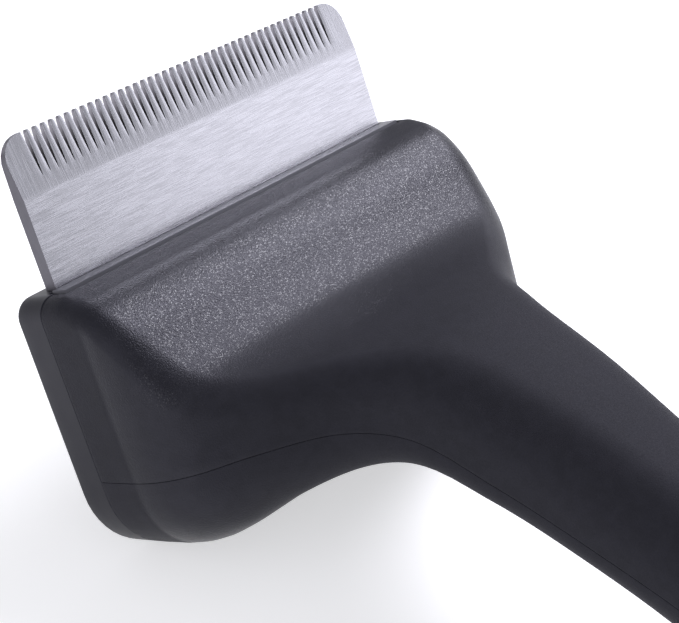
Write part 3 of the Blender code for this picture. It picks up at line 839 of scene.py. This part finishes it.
class COMB_OT_grip(bpy.types.Operator):
    """Rubber sleeve with shallow grooves round it for the fingers"""

    bl_idname = "comb.grip"
    bl_label = "Grip sleeve"

    def execute(self, context):
        start, end = SLEEVE_START + 0.25, SLEEVE_END
        ribs_from, ribs_over, rib_pitch = 64.0, 20.0, 2.5
        rows = [(start, 0.95), (start + 0.02, 0.55), (start + 0.25, 0.2), (start + 0.7, 0.03)]
        for n in steps(start + 1.2, end - 1.0, 150):
            s = (n - ribs_from) / ribs_over
            inside = max(0.0, 1.0 - (2.0 * s - 1.0) ** 4) if 0.0 < s < 1.0 else 0.0
            wave = max(0.0, math.sin(2 * math.pi * (n - ribs_from) / rib_pitch)) ** 2
            rows.append((n, sizes().rib_depth * inside * wave))
        rows += [(end - 0.4, 0.15), (end - 0.05, 0.5), (end, 0.95)]
        inner = [(n, SLEEVE_DEPTH - 0.18) for n in steps(end, start, 10)]
        loops = [full_ring(station(n), inset, 3, 8, 8) for n, inset in rows + inner]
        loops.append(loops[0])
        count = len(loops[0])
        obj = grid_surface("grip_sleeve_skin", count + 1, len(loops),
                           lambda c, r: loops[r][c % count], wrap=True)
        edit(obj)
        bpy.ops.mesh.normals_make_consistent(inside=False)
        done()
        smooth(obj, 45.0)
        hand_over(obj, HANDLE, "grip_rubber", finish("grip"), "grip_sleeve")
        return {"FINISHED"}


class COMB_OT_end_cap(bpy.types.Operator):
    """Rounded butt with a hanging hole through it"""

    bl_idname = "comb.end_cap"
    bl_label = "End cap"

    def execute(self, context):
        spigot = WALL + SLEEVE_DEPTH + 0.25
        flange = SHELL_END + 0.32
        rows = [(SHELL_END - 7.0, spigot), (SHELL_END + 0.3, spigot), (flange, 0.6)]
        rows += [(flange + 0.08, 0.3), (flange + 0.3, 0.06), (flange + 0.6, 0.0)]
        dome = 100.0
        rows += [(n, 0.0) for n in steps(flange + 1.2, dome, 6)]
        for k in range(1, 15):
            a = 0.5 * math.pi * k / 15.5
            rows.append((dome + 6.0 * math.sin(a), 5.4 * (1 - math.cos(a))))
        loops = [full_ring(station(n), inset, 4, 9, 9) for n, inset in rows]
        count = len(loops[0])
        obj = grid_surface("end_cap_butt", count + 1, len(loops),
                           lambda c, r: loops[r][c % count], wrap=True)
        close_ends(obj)
        row = station(HANG_N)
        half = row["half"]
        flare = [(HANG_RADIUS + 1.2, half + 1.0), (HANG_RADIUS + 0.8, half - 0.1),
                 (HANG_RADIUS, half - 1.0)]
        profile = [(radius, -along) for radius, along in flare] + flare[::-1]
        cut(obj, turned("hang_tool", on_section(row, 0, 0), heading(1, 0, 0), profile, 48))
        smooth(obj, 40.0)
        hand_over(obj, HANDLE, "cover_plastic", finish("cover"), "end_cap")
        return {"FINISHED"}


class COMB_OT_hardware(bpy.types.Operator):
    """Finishes of the screws, and smoothed copies of the return springs"""

    bl_idname = "comb.hardware"
    bl_label = "Screws and springs"

    def execute(self, context):
        for node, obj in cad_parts.items():
            if "_screw" in node:
                for entry in obj.material_slots:
                    entry.material = finish("screw")
        for node in ("return_spring_left", "return_spring_right"):
            coil = copy_of(node, node + "_coil")
            smooth(coil, 60.0)
            hand_over(coil, HANDLE, "spring_steel", finish("spring"), node)
            tuple(at(*SPRING_TOP))
            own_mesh(coil)
        return {"FINISHED"}


class COMB_OT_studio(bpy.types.Operator):
    """Pale floor, soft lights and the camera"""

    bl_idname = "comb.studio"
    bl_label = "Studio"

    CAMERA_PLACE = (-0.111332, -0.029114, 0.119042)
    CAMERA_TURN = (53.2162, -7.227, -49.5808)
    LENS = 1800.0 * 36.0 / 679.0
    LIT_POINT = (0.0, 0.055, 0.03)

    def execute(self, context):
        bpy.ops.object.select_all(action="DESELECT")
        bpy.ops.mesh.primitive_plane_add(size=6.0, location=(0.0, 0.0, -0.0002))
        floor = named("studio_floor")
        sheet = Sheet("pale_floor", (0.9, 0.9, 0.9), 0.0, 0.9,
                      Emission_Strength=0.5, Specular_IOR_Level=0.2)
        sheet.set("Emission Color", (1.0, 1.0, 1.0, 1.0))
        floor.data.materials.append(sheet.mat)
        world = bpy.data.worlds.new("studio_air")
        world.use_nodes = True
        sky = world.node_tree.nodes["Background"]
        sky.inputs["Color"].default_value = (0.92, 0.93, 1.0, 1.0)
        sky.inputs["Strength"].default_value = 0.36
        context.scene.world = world
        context.scene.view_settings.view_transform = "Standard"
        self.softbox("key_light", (0.655, 0.02, 0.755), 0.34, 0.20, 1.4)
        self.softbox("blade_light", (0.84, -0.54, 0.14), 0.6, 0.42, 0.54)
        self.softbox("left_fill", (-0.88, -0.12, 0.42), 0.8, 0.8, 2.3)
        self.softbox("right_fill", (0.93, 0.28, 0.16), 0.8, 0.34, 0.35)
        bpy.ops.object.camera_add()
        cam = context.object
        cam.name = "camera"
        cam.location = self.CAMERA_PLACE
        cam.rotation_euler = Euler([math.radians(a) for a in self.CAMERA_TURN])
        cam.data.sensor_width = 36.0
        cam.data.lens = self.LENS
        context.scene.camera = cam
        return {"FINISHED"}

    def softbox(self, name, way, distance, size, power):
        """Square light that faces the head from a direction."""
        way = Vector(way)
        spot = Vector(self.LIT_POINT) + way.normalized() * distance
        bpy.ops.object.light_add(type="AREA", location=spot)
        lamp = bpy.context.object
        lamp.name = name
        lamp.data.size = size
        lamp.data.energy = power
        lamp.data.color = (0.92, 0.915, 1.0)
        lamp.rotation_euler = way.to_track_quat("Z", "Y").to_euler()


class COMB_PT_panel(bpy.types.Panel):
    """Lists the steps and the settings of the comb"""

    bl_idname = "COMB_PT_panel"
    bl_label = "Undercoat Comb"
    bl_space_type = "VIEW_3D"
    bl_region_type = "UI"
    bl_category = "Comb"

    def draw(self, context):
        layout = self.layout
        for group in (context.scene.comb_sizes, context.scene.comb_colours):
            box = layout.box()
            for key in group.__annotations__:
                box.prop(group, key)
        for step in STEPS:
            layout.operator(step.bl_idname)


STEPS = (COMB_OT_studio, COMB_OT_shells, COMB_OT_cover, COMB_OT_blade, COMB_OT_ejector,
         COMB_OT_grip, COMB_OT_end_cap, COMB_OT_hardware)
CLASSES = (CombSizes, CombColours, *STEPS, COMB_PT_panel)


def register():
    for cls in CLASSES:
        bpy.utils.register_class(cls)
    bpy.types.Scene.comb_sizes = bpy.props.PointerProperty(type=CombSizes)
    bpy.types.Scene.comb_colours = bpy.props.PointerProperty(type=CombColours)


def unregister():
    del bpy.types.Scene.comb_colours
    del bpy.types.Scene.comb_sizes
    for cls in reversed(CLASSES):
        bpy.utils.unregister_class(cls)


def main():
    register()
    bpy.ops.comb.studio()
    bpy.ops.comb.shells()
    bpy.ops.comb.cover()
    bpy.ops.comb.blade()
    bpy.ops.comb.ejector()
    bpy.ops.comb.grip()
    bpy.ops.comb.end_cap()
    bpy.ops.comb.hardware()


if __name__ == "__main__":
    main()
